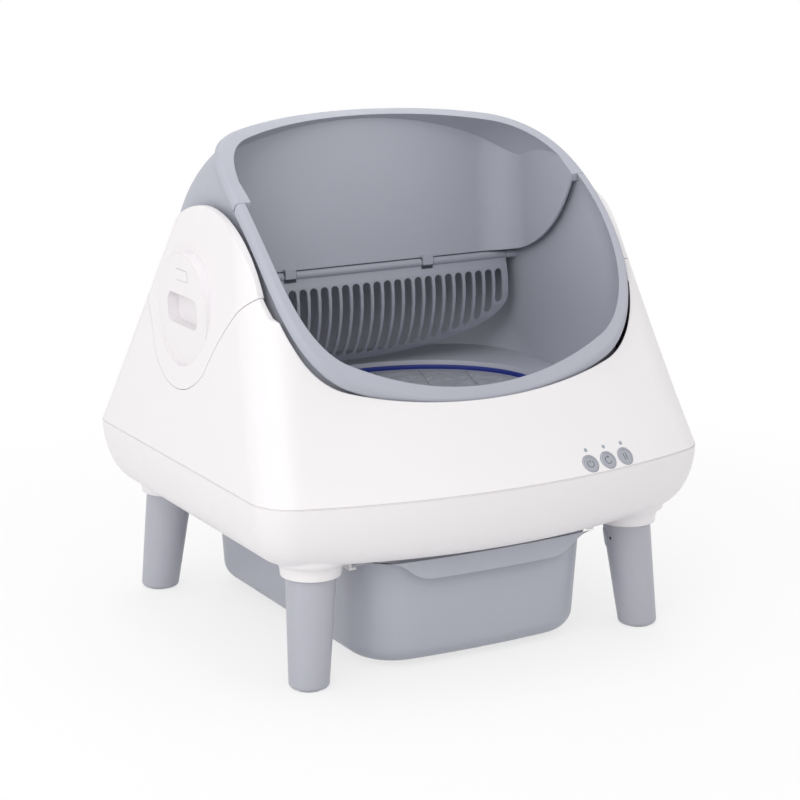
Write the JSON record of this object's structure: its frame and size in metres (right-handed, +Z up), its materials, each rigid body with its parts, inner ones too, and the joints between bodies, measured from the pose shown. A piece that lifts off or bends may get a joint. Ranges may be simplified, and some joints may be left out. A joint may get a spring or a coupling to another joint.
{
  "type": "self-cleaning litter box",
  "caption": "Open-top self-cleaning litter box: a barrel drum with a hood and a hinged sieve turns in a legged base above a pull-out waste drawer.",
  "frame": {"origin": "on the floor, below the middle of the base's outline", "axes": "+Z up, the front faces -Y, +X to the right of someone who looks at the front from outside"},
  "size_m": [0.566, 0.532, 0.583],
  "materials": {
    "white_shell": "satin moulded white",
    "white_tab": "satin moulded white",
    "grey_shell": "satin moulded cool grey",
    "grey_sieve": "satin moulded dark cool grey",
    "grey_leg": "satin moulded cool grey",
    "grey_drawer": "satin moulded cool grey",
    "grey_button": "satin grey caps",
    "liner_fabric": "coated woven nylon",
    "blue_band": "piped binding band",
    "steel": "plain zinc-plated steel",
    "bearing_plastic": "natural acetal",
    "motor_black": "black moulded plastic",
    "board_green": "solder-masked board",
    "light_clear": "clear light pipe",
    "foot_rubber": "matt soft rubber"
  },
  "bodies": {
    "base": {"base_tray": "white_shell", "base_housing": "white_shell", "side_cover_left": "white_shell", "side_cover_right": "white_shell", "drawer_rail_left": "white_shell", "drawer_rail_right": "white_shell", "leg_front_left": "grey_leg", "leg_front_right": "grey_leg", "leg_back_left": "grey_leg", "leg_back_right": "grey_leg", "side_frame_left": "steel", "side_frame_right": "steel", "tray_screws": "steel", "drum_bush_left": "bearing_plastic", "drum_bush_right": "bearing_plastic", "gear_motor": "motor_black", "power_inlet": "motor_black", "control_board": "board_green", "light_pipes": "light_clear", "foot_pad_front_left": "foot_rubber", "foot_pad_front_right": "foot_rubber", "foot_pad_back_left": "foot_rubber", "foot_pad_back_right": "foot_rubber"},
    "drum": {"drum_shell": "grey_shell", "hood_insert": "grey_shell", "sieve_pin": "steel", "bed_deck": "grey_shell", "liner_hoop": "blue_band", "bed_liner": "liner_fabric", "trunnion_left": "bearing_plastic", "trunnion_right": "bearing_plastic", "ring_gear": "bearing_plastic"},
    "pinion": {"drive_pinion": "bearing_plastic"},
    "sieve": {"sieve_gate": "grey_sieve"},
    "drawer": {"waste_drawer": "grey_drawer", "drawer_handle": "grey_drawer"},
    "button_a": {"button_1": "grey_button"},
    "button_b": {"button_2": "grey_button"},
    "button_c": {"button_3": "grey_button"},
    "tab_left": {"cover_tab_left": "white_tab"},
    "tab_right": {"cover_tab_right": "white_tab"}
  },
  "joints": [
    {"name": "drum_turn", "type": "hinge", "parent": "base", "child": "drum", "pos_m": [0, 0.018, 0.384], "axis": [-1, 0, 0], "range_deg": [0, 195]},
    {"name": "pinion_spin", "type": "hinge", "parent": "base", "child": "pinion", "pos_m": [0.228, 0.071, 0.2922], "axis": [-1, 0, 0], "range_deg": [-1872, 0]},
    {"name": "sieve_swing", "type": "hinge", "parent": "drum", "child": "sieve", "pos_m": [0, 0.106, 0.395], "axis": [-1, 0, 0], "range_deg": [0, 80]},
    {"name": "drawer_slide", "type": "slide", "parent": "base", "child": "drawer", "axis": [0, -1, 0], "range_m": [0, 0.33]},
    {"name": "button_a_press", "type": "slide", "parent": "base", "child": "button_a", "axis": [-0.0877, 0.7513, -0.6542], "range_m": [0, 0.0015], "stiffness_N_per_m": 500},
    {"name": "button_b_press", "type": "slide", "parent": "base", "child": "button_b", "axis": [-0.1122, 0.7608, -0.6392], "range_m": [0, 0.0015], "stiffness_N_per_m": 500},
    {"name": "button_c_press", "type": "slide", "parent": "base", "child": "button_c", "axis": [-0.138, 0.7726, -0.6197], "range_m": [0, 0.0015], "stiffness_N_per_m": 500},
    {"name": "tab_left_press", "type": "slide", "parent": "base", "child": "tab_left", "axis": [1, 0, 0], "range_m": [0, 0.002], "stiffness_N_per_m": 800},
    {"name": "tab_right_press", "type": "slide", "parent": "base", "child": "tab_right", "axis": [-1, 0, 0], "range_m": [0, 0.002], "stiffness_N_per_m": 800}
  ],
  "couplings": [
    {"joint": "pinion_spin", "follows": "drum_turn", "ratio": -9.6}
  ]
}
